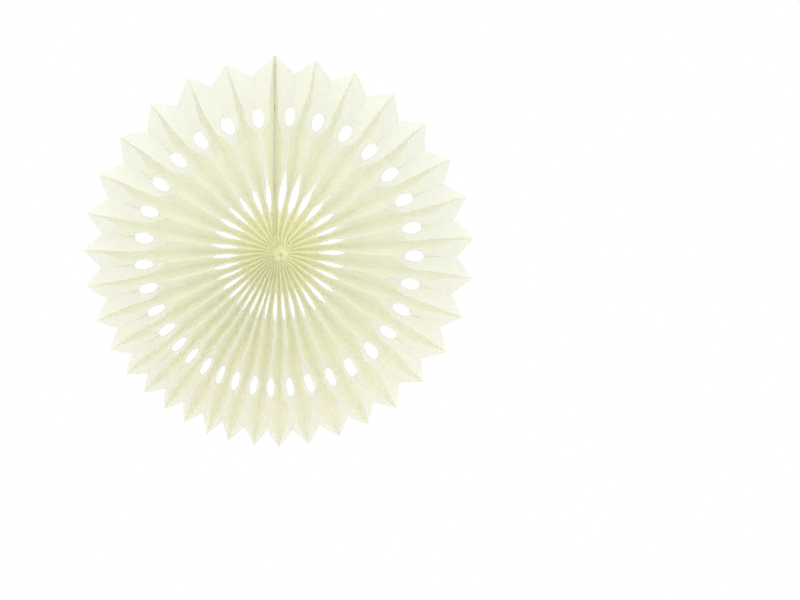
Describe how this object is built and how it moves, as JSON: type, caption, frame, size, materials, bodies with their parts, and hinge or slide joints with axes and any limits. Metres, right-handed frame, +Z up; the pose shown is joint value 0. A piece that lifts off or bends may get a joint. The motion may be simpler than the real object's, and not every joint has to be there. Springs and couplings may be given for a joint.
{
  "type": "paper fan rosette",
  "caption": "Round hanging fan of die-cut honeycomb tissue, opened to a full circle and closed by two card stays.",
  "frame": {"origin": "on the hub axis, halfway through the depth of the fan", "axes": "+Z up along the closed join, -Y out of the front face, +X to the viewer's right"},
  "size_m": [0.3994, 0.0528, 0.401],
  "materials": {
    "tissue": "matt tissue paper",
    "card": "matt cream board",
    "strip": "matt sticky strip",
    "thread": "cotton thread"
  },
  "bodies": {
    "root": {"tissue_cell_01": "tissue", "tissue_cell_02": "tissue", "tissue_cell_03": "tissue", "tissue_cell_04": "tissue", "tissue_cell_05": "tissue", "tissue_cell_06": "tissue", "tissue_cell_07": "tissue", "tissue_cell_08": "tissue", "tissue_cell_09": "tissue", "tissue_cell_10": "tissue", "tissue_cell_11": "tissue", "tissue_cell_12": "tissue", "tissue_cell_13": "tissue", "tissue_cell_14": "tissue", "tissue_cell_15": "tissue", "tissue_cell_16": "tissue", "tissue_cell_17": "tissue", "tissue_cell_18": "tissue", "tissue_cell_19": "tissue", "tissue_cell_20": "tissue", "tissue_cell_21": "tissue", "tissue_cell_22": "tissue", "tissue_cell_23": "tissue", "tissue_cell_24": "tissue", "tissue_cell_25": "tissue", "tissue_cell_26": "tissue", "tissue_cell_27": "tissue", "tissue_cell_28": "tissue", "tissue_cell_29": "tissue", "tissue_cell_30": "tissue", "tissue_cell_31": "tissue", "tissue_cell_32": "tissue", "tissue_cell_33": "tissue", "tissue_cell_34": "tissue", "card_stay_right": "card", "card_stay_left": "card", "closing_strip": "strip", "hub_thread": "thread"}
  },
  "joints": []
}
